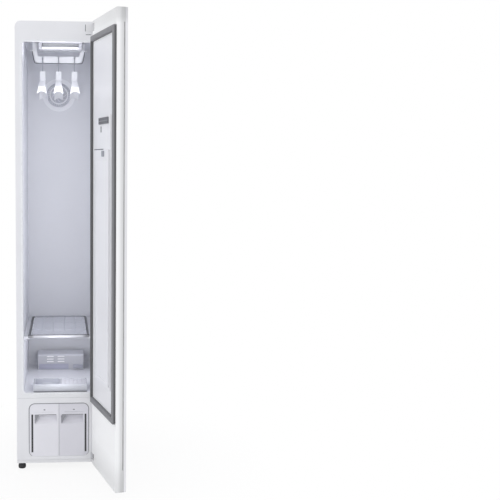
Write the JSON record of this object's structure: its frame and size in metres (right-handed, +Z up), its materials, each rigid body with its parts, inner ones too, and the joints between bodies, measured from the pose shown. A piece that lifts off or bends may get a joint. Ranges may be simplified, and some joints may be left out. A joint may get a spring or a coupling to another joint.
{
  "type": "clothes care steam cabinet",
  "caption": "Slim upright steam cabinet for clothes with a side-hung door, moving hanger bar, shelf, floor tray with filter and aroma case, and pull-out water tanks.",
  "frame": {"origin": "middle of the floor under the part's bounding box, with the door standing open", "axes": "+Z up, -Y towards the front, +X to the right of someone who faces the open cabinet"},
  "size_m": [0.4318, 0.9258, 1.85],
  "materials": {
    "enamel_white": "satin",
    "moulded_white": "satin",
    "liner_blue_grey": "satin",
    "hanger_white": "satin",
    "tank_white": "satin",
    "clear_plastic": "gloss",
    "smoked_plastic": "gloss",
    "light_lens": "satin",
    "foam": "matte",
    "gasket_grey": "matte",
    "black_rubber": "matte",
    "chrome_wire": "polished",
    "zinc_steel": "satin",
    "black_steel": "satin",
    "grey_plastic": "satin",
    "aluminium": "satin"
  },
  "bodies": {
    "cabinet": {"outer_case": "enamel_white", "front_frame": "moulded_white", "lower_front_panel": "moulded_white", "back_panel": "zinc_steel", "base_pan": "enamel_white", "machine_deck": "grey_plastic", "inner_liner": "liner_blue_grey", "insulation_wrap": "foam", "insulation_top": "foam", "tank_bay": "grey_plastic", "ceiling_unit": "moulded_white", "light_lens": "light_lens", "hanger_motor": "black_steel", "yoke_rail": "grey_plastic", "fan_grille": "moulded_white", "fan_housing": "grey_plastic", "floor_tray": "clear_plastic", "duct_cover": "liner_blue_grey", "steam_nozzle": "hanger_white", "steam_generator": "aluminium", "compressor": "black_steel", "condenser": "aluminium", "evaporator": "aluminium", "top_hinge": "enamel_white", "bottom_hinge": "zinc_steel"},
    "door": {"door_outer_panel": "moulded_white", "door_inner_shell": "moulded_white", "door_gasket": "gasket_grey", "door_liner": "moulded_white", "press_base": "moulded_white"},
    "press_board": {"press_board": "moulded_white"},
    "press_latch": {"press_latch": "grey_plastic"},
    "trouser_clip": {"trouser_clip": "smoked_plastic"},
    "hanger_bar": {"hanger_bar": "hanger_white", "hanger_yoke": "zinc_steel"},
    "crank": {"crank_disc": "zinc_steel"},
    "hanger_left": {"hanger_1": "hanger_white", "hook_1": "chrome_wire"},
    "hanger_middle": {"hanger_2": "hanger_white", "hook_2": "chrome_wire"},
    "hanger_right": {"hanger_3": "hanger_white", "hook_3": "chrome_wire"},
    "fan_impeller": {"fan_impeller": "grey_plastic"},
    "shelf": {"shelf_frame": "chrome_wire", "shelf_plate": "clear_plastic", "shelf_front_trim": "clear_plastic"},
    "supply_tank": {"supply_tank": "clear_plastic", "supply_tank_front": "tank_white", "supply_tank_window": "smoked_plastic", "supply_tank_lid": "grey_plastic"},
    "drain_tank": {"drain_tank": "clear_plastic", "drain_tank_front": "tank_white", "drain_tank_window": "smoked_plastic", "drain_tank_lid": "grey_plastic"},
    "lint_filter": {"lint_filter": "grey_plastic"},
    "aroma_case": {"aroma_case": "moulded_white"},
    "foot_front_left": {"foot_front_left": "black_rubber"},
    "foot_front_right": {"foot_front_right": "black_rubber"},
    "foot_rear_left": {"foot_rear_left": "black_rubber"},
    "foot_rear_right": {"foot_rear_right": "black_rubber"}
  },
  "joints": [
    {"name": "door_swing", "type": "hinge", "parent": "cabinet", "child": "door", "pos_m": [0.11211, -0.1398, 0], "axis": [0, 0, 1], "range_deg": [-103, 7]},
    {"name": "hanger_bar_slide", "type": "slide", "parent": "cabinet", "child": "hanger_bar", "axis": [1, 0, 0], "range_m": [-0.012, 0.012]},
    {"name": "crank_spin", "type": "hinge", "parent": "cabinet", "child": "crank", "pos_m": [-0.04204, 0.1535, 1.821], "axis": [0, 0, 1], "continuous": true},
    {"name": "hanger_left_swing", "type": "hinge", "parent": "hanger_bar", "child": "hanger_left", "pos_m": [-0.11104, 0.1535, 1.725], "axis": [1, 0, 0], "range_deg": [-8, 8]},
    {"name": "hanger_middle_swing", "type": "hinge", "parent": "hanger_bar", "child": "hanger_middle", "pos_m": [-0.04204, 0.1535, 1.725], "axis": [1, 0, 0], "range_deg": [-8, 8]},
    {"name": "hanger_right_swing", "type": "hinge", "parent": "hanger_bar", "child": "hanger_right", "pos_m": [0.02696, 0.1535, 1.725], "axis": [1, 0, 0], "range_deg": [-8, 8]},
    {"name": "fan_spin", "type": "hinge", "parent": "cabinet", "child": "fan_impeller", "pos_m": [-0.04204, 0.4285, 1.595], "axis": [0, -1, 0], "continuous": true},
    {"name": "shelf_slide", "type": "slide", "parent": "cabinet", "child": "shelf", "axis": [0, -1, 0], "range_m": [0, 0.3]},
    {"name": "supply_tank_slide", "type": "slide", "parent": "cabinet", "child": "supply_tank", "axis": [0, -1, 0], "range_m": [0, 0.32]},
    {"name": "drain_tank_slide", "type": "slide", "parent": "cabinet", "child": "drain_tank", "axis": [0, -1, 0], "range_m": [0, 0.32]},
    {"name": "lint_filter_lift", "type": "slide", "parent": "cabinet", "child": "lint_filter", "axis": [0, 0, 1], "range_m": [0, 0.06]},
    {"name": "aroma_case_lift", "type": "slide", "parent": "cabinet", "child": "aroma_case", "axis": [0, 0, 1], "range_m": [0, 0.06]},
    {"name": "press_board_swing", "type": "hinge", "parent": "door", "child": "press_board", "pos_m": [0.15159, -0.40281, 0], "axis": [0, 0, 1], "range_deg": [0, 90]},
    {"name": "press_latch_turn", "type": "hinge", "parent": "press_board", "child": "press_latch", "pos_m": [0.12999, -0.33595, 1.316], "axis": [-0.9744, -0.225, 0], "range_deg": [0, 90]},
    {"name": "trouser_clip_flip", "type": "hinge", "parent": "door", "child": "trouser_clip", "pos_m": [0.12662, -0.29465, 1.455], "axis": [-0.225, 0.9744, 0], "range_deg": [0, 75]},
    {"name": "foot_front_left_screw", "type": "hinge", "parent": "cabinet", "child": "foot_front_left", "pos_m": [-0.19654, -0.0895, 0], "axis": [0, 0, 1], "continuous": true},
    {"name": "foot_front_right_screw", "type": "hinge", "parent": "cabinet", "child": "foot_front_right", "pos_m": [0.11246, -0.0215, 0], "axis": [0, 0, 1], "continuous": true},
    {"name": "foot_rear_left_screw", "type": "hinge", "parent": "cabinet", "child": "foot_rear_left", "pos_m": [-0.19654, 0.4365, 0], "axis": [0, 0, 1], "continuous": true},
    {"name": "foot_rear_right_screw", "type": "hinge", "parent": "cabinet", "child": "foot_rear_right", "pos_m": [0.11246, 0.4365, 0], "axis": [0, 0, 1], "continuous": true}
  ]
}
